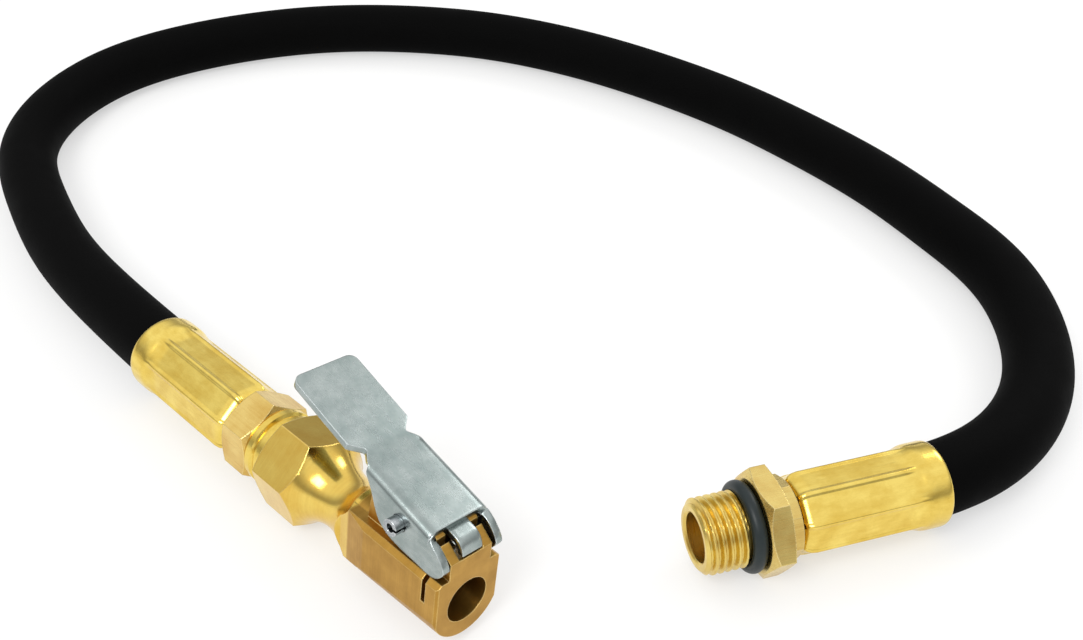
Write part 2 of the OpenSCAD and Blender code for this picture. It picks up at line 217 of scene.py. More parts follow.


# metal: two close tones in soft clouds, tool streaks of the given size (x, y, z) in mm, edges rubbed and painted
# bright as a highlight
# tone = clouds + share x streaks, roughness = its value x (1 - swing to 1 + swing) as the streaks go
# far is (distance along x in mm, base, tone, rough) for a second finish beyond that place
def metalMaterial(name, base, tone, rough, stretch, depth, alongChuck=False, cloud=6.0, edgeWearAndHighlight=None, spots=0.0,
                  far=None):
    material, tree = newMaterial(name)
    place, streakPlace = patternSpace(tree, alongChuck, stretch)
    low, high = metal["band"]
    clouds = addNode(tree, "ShaderNodeTexNoise", {"Scale": 1 / (cloud * mm), "Detail": 5.0, "Roughness": 0.62},
                     Vector=place).outputs["Fac"]
    streaks = addNode(tree, "ShaderNodeTexNoise", {"Scale": 1.0, "Detail": 5.0, "Roughness": 0.6},
                      Vector=streakPlace).outputs["Fac"]
    blend = addNode(tree, "ShaderNodeMath", {"operation": "MULTIPLY_ADD"}, i0=streaks, i2=clouds,
                    i1=metal["streakShare"]).outputs[0]
    start, full = metal["toneBand"]
    tones = addNode(tree, "ShaderNodeValToRGB", {"stops": [(start, 0.0), (full, 1.0)]}, Fac=blend).outputs["Color"]
    colour = addNode(tree, "ShaderNodeMix", {"data_type": "RGBA"}, i0=tones, i6=srgb(base),
                     i7=srgb(tone)).outputs[2]
    swing = metal["swing"]
    roughness = addNode(tree, "ShaderNodeMapRange", {
        "From Min": low, "From Max": high, "To Min": rough * (1 - swing), "To Max": rough * (1 + swing)},
        Value=streaks).outputs["Result"]
    if far:
        # second finish: the place along the axis picks one or the other
        farAt, farBase, farTone, farRough = far
        swing, half = metal["farSwing"], metal["change"] / 2
        along = addNode(tree, "ShaderNodeSeparateXYZ", Vector=place).outputs["X"]
        beyond = addNode(tree, "ShaderNodeMapRange", {
            "From Min": (farAt - half) * mm, "From Max": (farAt + half) * mm}, Value=along).outputs["Result"]
        farColour = addNode(tree, "ShaderNodeMix", {"data_type": "RGBA"}, i0=tones, i6=srgb(farBase),
                            i7=srgb(farTone)).outputs[2]
        colour = addNode(tree, "ShaderNodeMix", {"data_type": "RGBA"}, i0=beyond, i6=colour, i7=farColour).outputs[2]
        farRoughness = addNode(tree, "ShaderNodeMapRange", {
            "From Min": low, "From Max": high, "To Min": farRough * (1 - swing), "To Max": farRough * (1 + swing)},
            Value=clouds).outputs["Result"]
        roughness = addNode(tree, "ShaderNodeMix", {"data_type": "FLOAT"}, i0=beyond, i2=roughness,
                            i3=farRoughness).outputs[0]
    if spots:
        # dull spots where the plating or the oxide is thicker
        speck = addNode(tree, "ShaderNodeTexNoise", {"Scale": 1 / (metal["spot"] * mm), "Detail": 7.0,
                                                     "Roughness": 0.7}, Vector=place).outputs["Fac"]
        start, full = metal["spotBand"]
        dull = addNode(tree, "ShaderNodeValToRGB", {"stops": [(start, 0.0), (full, spots)]},
                       Fac=speck).outputs["Color"]
        colour = addNode(tree, "ShaderNodeMix", {"data_type": "RGBA"}, i0=dull, i6=colour, i7=srgb(tone)).outputs[2]
    if edgeWearAndHighlight:
        # rubbed edges, painted brighter as a highlight too: where the rounded normal leaves the flat one, their dot
        # product falls below 1
        rounded = addNode(tree, "ShaderNodeBevel", {"Radius": metal["edgeRadius"] * mm, "samples": 6}).outputs[0]
        flat = addNode(tree, "ShaderNodeNewGeometry").outputs["Normal"]
        agree = addNode(tree, "ShaderNodeVectorMath", {"operation": "DOT_PRODUCT"}, i0=rounded,
                        i1=flat).outputs["Value"]
        start, full = metal["rubbedAndHighlightBand"]
        rubbedAndHighlit = addNode(tree, "ShaderNodeValToRGB", {"stops": [(start, 1.0), (full, 0.0)]},
                         Fac=agree).outputs["Color"]
        colour = addNode(tree, "ShaderNodeMix", {"data_type": "RGBA"}, i0=rubbedAndHighlit, i6=colour,
                         i7=srgb(edgeWearAndHighlight)).outputs[2]
    bump = addNode(tree, "ShaderNodeBump", {"Strength": 1.0, "Distance": depth * mm}, Height=streaks)
    if edgeWearAndHighlight:
        tree.links.new(rounded, bump.inputs["Normal"])
    shader = addNode(tree, "ShaderNodeBsdfPrincipled", {"Metallic": 1.0}, Roughness=roughness,
                     Normal=bump.outputs["Normal"], Base_Color=colour)
    addNode(tree, "ShaderNodeOutputMaterial", Surface=shader.outputs[0])
    return material


# every rubber: its clouds' size in mm, the bands of tone and of roughness, how far the roughness falls and rises
rubber = {"cloud": 9, "toneBand": (0.40, 0.75), "band": (0.3, 0.7), "smoother": 0.06, "rougher": 0.08}


# rubber: deep black with a faint bloom in broad clouds, a fine cured grain and dust in it; sizes in mm
def rubberMaterial(name, base, bloom, rough, grainSize, grainDepth, shine=0.35, sheen=0.0):
    material, tree = newMaterial(name)
    place = addNode(tree, "ShaderNodeTexCoord").outputs["Object"]
    broad = addNode(tree, "ShaderNodeTexNoise", {"Scale": 1 / (rubber["cloud"] * mm), "Detail": 6.0,
                                                 "Roughness": 0.65}, Vector=place).outputs["Fac"]
    fine = addNode(tree, "ShaderNodeTexNoise", {"Scale": 1 / (grainSize * mm), "Detail": 4.0},
                   Vector=place).outputs["Fac"]
    start, full = rubber["toneBand"]
    colour = addNode(tree, "ShaderNodeValToRGB", {"stops": [(start, srgb(base)), (full, srgb(bloom))]},
                     Fac=broad).outputs["Color"]
    low, high = rubber["band"]
    spread = addNode(tree, "ShaderNodeMapRange", {
        "From Min": low, "From Max": high, "To Min": rough - rubber["smoother"], "To Max": rough + rubber["rougher"]},
        Value=broad).outputs["Result"]
    bump = addNode(tree, "ShaderNodeBump", {"Strength": 0.6, "Distance": grainDepth * mm}, Height=fine)
    shader = addNode(tree, "ShaderNodeBsdfPrincipled", {"Specular IOR Level": shine, "Sheen Weight": sheen},
                     Base_Color=colour, Roughness=spread, Normal=bump.outputs["Normal"])
    addNode(tree, "ShaderNodeOutputMaterial", Surface=shader.outputs[0])
    return material


# the edge colours given below are lighter tones, partly rubbed wear and partly a painted highlight on the edges
# drawn bar: streaks along it, drawn 0.35 mm wide so that they show, and a satin shine; cut ends keep its tone
brassHex = metalMaterial("brass, drawn hexagon bar", "#E2CA7C", "#CFAE62", 0.27, (14, 0.35, 0.35), 0.006,
                         edgeWearAndHighlight="#F2E0A4")
# the same bar turned onto the chuck's axis, painted a little lighter as painted light for the side nearer the lamps
brassHexChuckPaintedLighter = metalMaterial("brass, drawn hexagon bar, chuck side, painted lighter", "#E6C97A", "#D4AE5C", 0.24, (14, 0.35, 0.35),
                              0.006, alongChuck=True, edgeWearAndHighlight="#F4E2A4")
# rolled thread: smooth burnished flanks, warm where they face each other
brassThread = metalMaterial("brass, rolled thread", "#E8D078", "#D4B460", 0.30, (0.3, 6, 6), 0.006)
# turned waist is burnished and mirrors its surroundings; the milled head beyond it is duller and browner
brassTurned = metalMaterial("brass, turned and milled", "#E8C968", "#DDB654", 0.17, (0.25, 9, 9), 0.006,
                            alongChuck=True, edgeWearAndHighlight="#EBCF8A", far=(66.5, "#BF9446", "#A9803A", 0.40))
# pressed ferrules: polished before crimping, so long soft highlights that waver over shallow dents
brassBright = metalMaterial("brass, polished and crimped", "#F2D772", "#DDBB54", 0.20, (5, 1.1, 1.1), 0.022, cloud=5,
                            spots=0.35)
brassBrightChuck = metalMaterial("brass, polished and crimped, chuck side", "#F2D772", "#DDBB54", 0.20,
                                 (5, 1.1, 1.1), 0.022, alongChuck=True, cloud=5, spots=0.35)
# zinc plate on pressed steel: cool grey, mottled, bright along the bends, partly rubbing and partly a painted
# highlight
zincSheet = metalMaterial("steel sheet, pressed and zinc plated", "#A7B0AE", "#8B9795", 0.28, (5, 1.2, 1.2), 0.008,
                          alongChuck=True, cloud=5, edgeWearAndHighlight="#DDE4E5", spots=0.6)
# drawn wire and pins: neutral bright steel with fine lines along it
springSteel = metalMaterial("spring steel, drawn", "#B9BDC0", "#8F9498", 0.24, (3, 0.3, 0.3), 0.004, edgeWearAndHighlight="#DADDDE")
# extruded cover: matt black that swallows light, with a soft broad sheen and a cured grain
hoseRubber = rubberMaterial("rubber hose cover, extruded", "#030303", "#060606", 0.72, 0.45, 0.03, shine=0.04)
# moulded ring: smooth blue-black with a clear soft highlight round it
sealRubber = rubberMaterial("nitrile seal, moulded", "#161F20", "#202B2C", 0.42, 0.3, 0.006)
# moulded seat and liner: plain black, half matt
seatRubber = rubberMaterial("rubber seat, moulded", "#0C0C0C", "#141414", 0.5, 0.3, 0.01)
# braid: dry off-white yarn, which only shows where the hose is cut
braidYarn = rubberMaterial("polyester braid, woven", "#B9B2A2", "#CFC8B8", 0.8, 0.6, 0.08, sheen=0.3)
print("materials ready")


# hose: one smooth cubic spline along the same route as the solid; mm
# gripped is its size inside the ferrules; leaving, lying and arriving are the points of its route
hose = {"outside": 13.2, "bore": 6.4, "liner": 1.1, "braid": 0.8, "gripped": 0.9, "roundUp": 1.0115, "gap": 0.01,
        "inletEnd": 24.2, "chuckEnd": 26.8, "floor": -8.5, "easeFrom": 5, "easeOver": 4, "steps": 14,
        "leaving": [(24, 0, 0), (36, 0, 0), (54, 3, -0.3)],
        "lying": [(75, 20), (86, 50), (82, 72), (78, 94), (69, 117), (60, 137), (47, 157), (33, 175), (15, 192),
                  (-3, 203), (-26, 212), (-48, 215), (-72, 213), (-94, 205), (-110, 187), (-117, 165), (-113, 142),
                  (-108, 119)],
        "arriving": [(-98.5, 96, -0.6)]}

# ferrules: lip is (distance from the mouth, drop below the bell), shoulder is (distance before the end, drop below
# the crimped body), and the rest is where and how deep the flats and the seams between them are pressed; mm
ferrule = {"inletLength": 27.0, "chuckLength": 29.6, "inletAt": 9.6, "chuckAt": 2.4, "inletTurn": -5.7, "bell": 15.2,
           "step": 0.25, "bellEnd": 5.2, "hole": 4.42, "wall": 2, "play": 0.02, "columns": 320,
           "lip": [(0.12, 0.55), (0.0, 0.38), (0.12, 0.2), (0.4, 0.07), (0.9, 0), (3.4, 0), (4.2, 0.06)],
           "shoulder": [(2.2, 0), (1.2, 0.16), (0.5, 0.55), (0.1, 1.1), (0, 1.6)],
           "flats": 8, "press": 0.62, "seamHeight": 0.17, "seamHalf": 0.62, "seamEdge": 0.22, "crimpFrom": 3.8,
           "crimpOver": 4.0, "crimpDown": 1.3}


# route: straight out of the inlet's ferrule, along the floor, then straight back into the chuck's ferrule
def hoseRoute():
    lie = hose["floor"] + hose["outside"] / 2
    mouth = ferrule["inletAt"] + ferrule["inletLength"]
    back = -np.array([math.cos(math.radians(chuck["yaw"])), math.sin(math.radians(chuck["yaw"])), 0])
    end = np.array(chuck["place"]) - back * ferrule["chuckAt"]
    start, depth = mouth - hose["inletEnd"], hose["chuckEnd"]
    route = [(start - 12, 0, 0), (start, 0, 0)] + hose["leaving"]
    route += [(x, y, lie) for x, y in hose["lying"]] + hose["arriving"]
    route += [end - back * 3, end - back * 14, end - back * depth, end - back * (depth + 11)]
    return np.array(route, dtype=float)


# cubic spline: each stretch blends four route points by ((1 - u)^3, 3u^3 - 6u^2 + 4, -3u^3 + 3u^2 + 3u + 1, u^3) / 6
def splinePath(route, steps):
    u = (np.arange(steps) / steps)[None, :, None]
    p = [route[k:len(route) - 3 + k][:, None, :] for k in range(4)]
    line = ((1 - u) ** 3 * p[0] + (3 * u ** 3 - 6 * u ** 2 + 4) * p[1]
            + (-3 * u ** 3 + 3 * u ** 2 + 3 * u + 1) * p[2] + u ** 3 * p[3]) / 6
    last = (route[-3] + 4 * route[-2] + route[-1]) / 6
    return np.vstack([line.reshape(-1, 3), last])


# tube: path point + radius x (cos angle x level side + sin angle x the direction square to side and path)
def tubeGrid(path, radius, cols):
    tangent = np.gradient(path, axis=0)
    tangent /= np.linalg.norm(tangent, axis=1)[:, None]
    side = np.cross(tangent, [0, 0, 1])
    side /= np.linalg.norm(side, axis=1)[:, None]
    up = np.cross(side, tangent)
    angle = (np.arange(cols) * tau / cols)[None, :, None]
    around = np.cos(angle) * side[:, None, :] + np.sin(angle) * up[:, None, :]
    return path[:, None, :] + radius[:, None, None] * around


# cover, braid and liner share one path; inside the ferrules all are squeezed to the gripped size by a smooth step
def makeHose():
    path = splinePath(hoseRoute(), hose["steps"])
    along = np.concatenate([[0], np.cumsum(np.linalg.norm(np.diff(path, axis=0), axis=1))])
    inside = np.minimum(along - hose["inletEnd"], along[-1] - along - hose["chuckEnd"])
    ease = np.clip((inside + hose["easeFrom"]) / hose["easeOver"], 0, 1)
    squeeze = hose["gripped"] + (1 - hose["gripped"]) * ease * ease * (3 - 2 * ease)
    boreRadius = hose["bore"] / 2
    linerRadius = boreRadius + hose["liner"]
    braidRadius = boreRadius + hose["liner"] + hose["braid"]
    for name, node, material, outer, inner, cols in (
            ("hoseCover", "hose_cover", hoseRubber, hose["outside"] / 2, braidRadius + hose["gap"], 72),
            ("hoseBraid", "hose_braid", braidYarn, braidRadius, linerRadius + hose["gap"], 36),
            ("hoseLiner", "hose_liner", seatRubber, linerRadius, boreRadius, 36)):
        skin = tubeGrid(path, outer * squeeze, cols)
        bore = tubeGrid(path, inner * squeeze, cols)[::-1]
        piece = makePiece(name, np.concatenate([skin, bore]) * mm, material, "hose_body", flip=True)
        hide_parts(node)


makeHose()


# ferrule: a rolled lip and a bell mouth, then eight flats pressed in by the crimping dies, with thin seams between
def ferruleGrid(length):
    bell, sides = ferrule["bell"] / 2, ferrule["flats"]
    body = bell - ferrule["step"]
    cover = hose["outside"] / 2
    grip = cover * hose["roundUp"] * hose["gripped"] + ferrule["play"]
    inEnd = length - ferrule["wall"]
    outer = [(x, bell - drop) for x, drop in ferrule["lip"]] + [(ferrule["bellEnd"], body)]
    outer += [(length - x, body - drop) for x, drop in ferrule["shoulder"]] + [(length, ferrule["hole"])]
    inner = [(inEnd, ferrule["hole"]), (inEnd, grip), (4.6, grip), (1.2, cover + 0.2), (0.3, cover + 0.32)]
    outerRows = denser(outer, 0.35)
    profile = np.vstack([outerRows, denser(inner, 1.0)])

    # a flat's radius = its distance / cos(angle from its middle); a raised seam about 1 mm wide stands at each
    # corner, where two jaws of the die meet; both ease in behind the bell
    def shape(x, angle, r):
        part = (angle * sides / tau) % 1.0
        flat = (body - ferrule["press"]) / np.cos((part - 0.5) * tau / sides)
        corner = np.minimum(part, 1 - part) * tau * body / sides
        seam = ferrule["seamHeight"] * np.clip((ferrule["seamHalf"] - corner) / ferrule["seamEdge"], 0, 1)
        start = np.clip((x - ferrule["crimpFrom"]) / ferrule["crimpOver"], 0, 1)
        start = start * start * (3 - 2 * start)
        cut = (body - flat - seam) * start
        outside = np.arange(len(profile))[:, None] < len(outerRows) - 1
        return r - np.where(outside & (r > body - ferrule["crimpDown"]), cut, 0)

    return turnedGrid(profile, ferrule["columns"], shape)


# each ferrule is turned so that a flat lies on top; the inlet's faces the other way along x
def makeFerrules():
    halfFlat = 180 / ferrule["flats"]
    grid = ferruleGrid(ferrule["inletLength"]) @ turnX(math.radians(ferrule["inletTurn"] + halfFlat + 90)).T
    grid[..., 0] = (ferrule["inletAt"] + ferrule["inletLength"]) * mm - grid[..., 0]
    piece = makePiece("inletFerrule", grid, brassBright, "hose_body", flip=True, sharp=50)
    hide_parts("inlet_ferrule")
    grid = ferruleGrid(ferrule["chuckLength"]) @ turnX(math.radians(halfFlat + 90)).T
    grid = grid + np.array([ferrule["chuckAt"] * mm, 0, 0])
    piece = makePiece("chuckFerrule", onChuck(grid), brassBrightChuck, "hose_body", sharp=50)
    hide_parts("chuck_ferrule")
    print("ferrules made")


makeFerrules()


# inlet: pipe thread with its bore, hexagon, eight-sided neck and the barbed stem inside the hose; mm
# ring is the seal's half width and half height; a bar's front and rear are how long its end cones are
inlet = {"threadRadius": 6.58, "threadLength": 7.6, "pitch": 1.337, "depth": 0.78, "bore": 4.3, "undercut": 5.63,
         "overlap": 0.6, "chamfer": (0.9, 0.96), "airway": 1.7, "seal": 2.7, "ring": (1.28, 1.14), "ringGap": 0.04,
         "hexEnd": 6.8, "hexagon": {"flats": 17.0, "front": 1.0, "rear": 0.4, "hollow": 5.2, "sides": 6},
         "neckEnd": 9.2, "neck": {"flats": 13.7, "front": 0.05, "rear": 0.35, "hollow": 4.2, "sides": 8},
         "stem": {"collar": 4.38, "collarLength": 3, "barbs": 6, "spacing": 3.6, "back": 3.2, "crestEnd": 2.8,
                  "root": 2.49, "crest": 2.94, "nose": 2.39, "short": 2.4}}


# thread: crest radius less a rounded dip that repeats each pitch along and steps one pitch per turn
def threadGrid():
    tip, crest, bore, undercut = -inlet["threadLength"], inlet["threadRadius"], inlet["bore"], inlet["undercut"]
    end = inlet["seal"] + inlet["overlap"]
    long, drop = inlet["chamfer"]
    outer = [(tip + 0.03, bore + 0.34), (tip, bore + 0.45), (tip, crest - drop - 0.09), (tip + 0.06, crest - drop),
             (tip + long, crest), (0, crest), (0.02, undercut), (end, undercut)]
    inner = [(end, inlet["airway"]), (0.6, inlet["airway"]), (-1.45, bore), (tip + 0.4, bore)]
    profile = np.vstack([denser(outer[:5], 0.12), denser(outer[4:6], 0.05)[1:], denser(outer[6:], 0.3),
                         denser(inner, 0.4)])
    onThread = (profile[:, 1] > undercut + 0.01) & (profile[:, 0] <= 0)

    # the dip is a cosine wave, cut off flat at its top and its foot
    def shape(x, angle, r):
        turn = (x / inlet["pitch"] - angle / tau) % 1.0
        dip = 0.5 - 0.5 * np.cos(turn * tau)
        cut = crest - inlet["depth"] * np.clip(1.25 * dip - 0.1, 0, 1)
        return np.where(onThread[:, None], np.minimum(r, cut), r)

    return turnedGrid(profile, 180, shape)


# hexagon or octagon bar: straight flats, and a cone at each end that meets them in curved lines
# a cone meets the side at start + front x (side - face) / (corner - face), each measured from the axis
def barGrid(start, end, flats, front, rear, hollow, sides):
    cols = 240
    angle = (np.arange(cols) * tau / cols)[None, :]
    corner = flats / 2 / math.cos(math.pi / sides)
    wide = polygonRadius(angle, flats, sides)
    t = np.linspace(0, 1, 7)[1:, None]
    ring = np.zeros((1, cols))
    faceFront, faceRear = flats / 2 - front / 3, flats / 2 - rear / 3
    meetFront = start + front * (wide - faceFront) / (corner - faceFront)
    meetRear = end - rear * (wide - faceRear) / (corner - faceRear)
    x = np.vstack([ring + start, ring + start, start + (meetFront - start) * t, meetFront + (meetRear - meetFront) * t,
                   meetRear + (end - meetRear) * t, ring + end])
    r = np.vstack([ring + hollow, ring + faceFront, faceFront + (wide - faceFront) * t, wide + 0 * t,
                   wide + (faceRear - wide) * t, ring + hollow])
    angle = angle + 0 * x
    return np.stack([x, r * np.cos(angle), r * np.sin(angle)], axis=-1) * mm


def makeInlet():
    thread = makePiece("inletThread", threadGrid(), brassThread, "hose_body", sharp=40)
    nut = makePiece("inletHexagon", barGrid(inlet["seal"], inlet["hexEnd"], **inlet["hexagon"]), brassHex,
                    "hose_body", sharp=20)
    neck = makePiece("inletNeck", barGrid(inlet["hexEnd"] - 0.4, inlet["neckEnd"], **inlet["neck"]), brassHex,
                     "hose_body", sharp=20)
    # stem: a collar, then barbs, each a slow cone with a square back
    s = inlet["stem"]
    collarEnd = inlet["neckEnd"] + s["collarLength"]
    last = ferrule["inletAt"] + ferrule["inletLength"] - s["short"]
    profile = [(inlet["hexEnd"], s["collar"]), (collarEnd, s["collar"]), (collarEnd, s["root"])]
    for k in reversed(range(s["barbs"])):
        x = last - k * s["spacing"]
        profile += [(x - s["back"], s["root"]), (x - s["back"], s["crest"]), (x - s["crestEnd"], s["crest"]),
                    (x, s["nose"])]
    profile += [(last, inlet["airway"]), (inlet["hexEnd"], inlet["airway"])]
    stem = makePiece("inletStem", turnedGrid(denser(profile, 1.5), 64), brassHex, "hose_body")
    for piece in (thread, nut, neck, stem):
        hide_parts("inlet_fitting")
    # sealing ring: an ellipse carried round the thread's neck, as a ring is that has been pressed and let go
    angle = np.linspace(0, tau, 40, endpoint=False)
    wide, high = inlet["ring"]
    section = np.stack([inlet["seal"] / 2 + wide * np.cos(angle),
                        inlet["undercut"] + high + inlet["ringGap"] + high * np.sin(angle)], axis=-1)
    seal = makePiece("sealingRing", turnedGrid(section[::-1], 160), sealRubber, "hose_body", sharp=180)
    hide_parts("inlet_o_ring")
    print("inlet made")


makeInlet()


# coil springs, in the chuck's frame; pressed is the share of its length that is left at the joint's limit; mm
springs = {
    "leverSpring": {"node": "lever_spring", "joint": "lever_pivot", "at": (73.4, 0, 9.4), "along": (0, 0, 1),
                    "length": 5.9, "radius": 1.5, "wire": 0.25, "turns": 6, "pressed": 0.82},
    "poppetSpring": {"node": "poppet_spring", "joint": "poppet_slide", "at": (47.6, 0, 0), "along": (1, 0, 0),
                     "length": 4.9, "radius": 2.4, "wire": 0.25, "turns": 5, "pressed": 0.66}}

# every coil: stations per turn, points round the wire, and how much of a turn lies close at each end, and how close
coil = {"perTurn": 36, "aroundWire": 10, "closeTurn": 0.9, "closePitch": 0.35}


# coil: distance from the axis = mean radius + wire x cos b, height = rise of the helix + wire x sin b
def coilGrid(length, meanRadius, wire, turns):
    u = np.linspace(0, 1, turns * coil["perTurn"] + 1)
    close = coil["closeTurn"] / turns
    pitch = np.interp(u, [0, close, 1 - close, 1], [0, coil["closePitch"] * close, 1 - coil["closePitch"] * close, 1])
    angle = u * turns * tau
    around = (np.arange(coil["aroundWire"]) * tau / coil["aroundWire"])[None, :]
    radius = meanRadius + wire * np.cos(around)
    z = (wire + (length - 2 * wire) * pitch)[:, None] + wire * np.sin(around)
    return np.stack([radius * np.cos(angle)[:, None], radius * np.sin(angle)[:, None], z], axis=-1) * mm


def makeSprings():
    for name, s in springs.items():
        grid = coilGrid(s["length"], s["radius"], s["wire"], s["turns"])
        if s["along"][0]:
            grid = grid @ turnY(math.pi / 2).T
        piece = makePiece(name, onChuck(grid + np.array(s["at"]) * mm), springSteel, "hose_body", loop=False,
                          flip=True, sharp=180)
        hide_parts(s["node"])
        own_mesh(piece)
    print("springs made")


makeSprings()


# clip lever: one pressed sheet with two cheeks, a thumb plate and a curled tongue between them; mm and degrees
# rows of the outline are (x, half width of the flat sheet) or (x, height of the cheek's edge), x from the pivot
lever = {
    "pivot": (78.9, 0, 12), "slope": 14.2, "top": 3.7, "halfWidth": 6.2, "sheet": 1.3, "bend": 1.6, "rim": 0.22,
    "hole": 1.54, "holeSides": 40, "holeRod": 9, "thumbEnd": -29.5, "corner": 1.6, "thumbBend": 3.4, "notch": -12.2,
    "foldFrom": -11, "foldOver": 1.6, "finer": -3, "front": 6.0,
    "flat": [(-14.4, 6.2), (-13.9, 5.75), (-12.4, 4.2), (-12.0, 4.1), (-9.4, 5.9)],
    "cheekBottom": [(-9.2, 2.6), (-7.1, 0.4), (-5.6, -1.7), (-4.7, -2.8), (-3.8, -3.6), (-2.8, -4.1), (-1.6, -4.4),
                    (-0.3, -4.5), (2.2, -4.3), (5, -3.85), (7.8, -3.5), (9.1, -3.1), (9.9, -2.55), (10.5, -1.8),
                    (10.85, -0.95), (10.95, -0.35)],
    "cheekTop": [(6.0, 3.7), (6.1, 3.3), (6.4, 2.95), (7.2, 2.5), (8.6, 1.85), (9.8, 1.1), (10.5, 0.5),
                 (10.85, -0.05), (10.95, -0.3)],
    "tongue": {"wide": 4.2, "aside": 0.25, "from": 4.9, "centre": (7.65, -0.4), "radius": 2.78, "end": 11,
               "legAt": 8.3, "legTop": 1.1, "legEnd": -6.15}}


# points of the lever's frame, with its pin at the origin and its plate level, in the model's
def onLever(points):
    return onChuck(points @ turnY(math.radians(lever["slope"])).T + np.array(lever["pivot"]) * mm)


# sheet surface: a flat middle, a quarter bend of the given radius, then straight down; s is measured across it
# in the bend y = flat + radius x sin turn and z = top - radius x (1 - cos turn), with turn = (s - flat) / radius
def foldAcross(s):
    flat, bend = lever["halfWidth"] - lever["bend"], lever["bend"]
    turn = np.clip((np.abs(s) - flat) / bend, 0, tau / 4)
    down = np.maximum(np.abs(s) - flat - bend * tau / 4, 0)
    y = np.minimum(np.abs(s), flat) + bend * np.sin(turn)
    return np.sign(s) * y, lever["top"] - bend * (1 - np.cos(turn)) - down


# length across the sheet from its middle to where the fold has come down to the given height
def acrossAt(z):
    bend = lever["bend"]
    fallen = lever["top"] - z
    turn = np.arccos(np.clip(1 - fallen / bend, 0, 1))
    return lever["halfWidth"] - bend + bend * turn + np.maximum(fallen - bend, 0)


# closed sheet from a surface grid and the cells to keep: faces, then wall thickness inwards and rounded rims
def makeSheet(name, grid, keep, hole=None):
    rows, cols = grid.shape[:2]
    i, j = np.nonzero(keep)
    a = i * cols + j
    mesh = bpy.data.meshes.new(name)
    faces = np.stack([a, a + cols, a + cols + 1, a + 1], axis=-1)
    used = np.unique(faces)
    place = np.zeros(rows * cols, dtype=int)
    place[used] = np.arange(len(used))
    mesh.from_pydata(grid.reshape(-1, 3)[used].tolist(), [], place[faces].tolist())
    mesh.materials.append(zincSheet)
    piece = bpy.data.objects.new(name, mesh)
    bpy.context.scene.collection.objects.link(piece)
    wall = piece.modifiers.new("wall", "SOLIDIFY")
    wall.thickness, wall.offset, wall.use_even_offset = lever["sheet"] * mm, -1, True
    if hole is not None:
        cut = piece.modifiers.new("hole", "BOOLEAN")
        cut.operation, cut.solver, cut.object = "DIFFERENCE", "EXACT", hole
    rounding = piece.modifiers.new("rim", "BEVEL")
    rounding.width, rounding.segments, rounding.limit_method = lever["rim"] * mm, 2, "ANGLE"
    rounding.angle_limit = math.radians(50)
    # the finished mesh is kept, so that the hole's cutter can go
    shape = piece.evaluated_get(bpy.context.evaluated_depsgraph_get())
    done = bpy.data.meshes.new_from_object(shape)
    piece.modifiers.clear()
    piece.data = done
    done.name = name
    done.polygons.foreach_set("use_smooth", np.ones(len(done.polygons), dtype=bool))
    done.set_sharp_from_angle(angle=math.radians(38))
    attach(piece, "lever")
    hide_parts("clip_lever")
    return piece


# round rod through both cheeks that cuts the pin's hole
def makeHoleCutter():
    count, radius, half = lever["holeSides"], lever["hole"], lever["holeRod"]
    k = np.arange(count)
    turns = k * tau / count
    ring = np.stack([radius * np.cos(turns), turns * 0, radius * np.sin(turns)], axis=-1)
    rod = np.concatenate([ring + [0, -half, 0], ring + [0, half, 0]]) * mm
    sides = np.stack([k, k + count, (k + 1) % count + count, (k + 1) % count], axis=-1).tolist()
    mesh = bpy.data.meshes.new("pinHole")
    mesh.from_pydata(onLever(rod).tolist(), [], sides + [k.tolist(), (k[::-1] + count).tolist()])
    hole = bpy.data.objects.new("pinHole", mesh)
    bpy.context.scene.collection.objects.link(hole)
    return hole


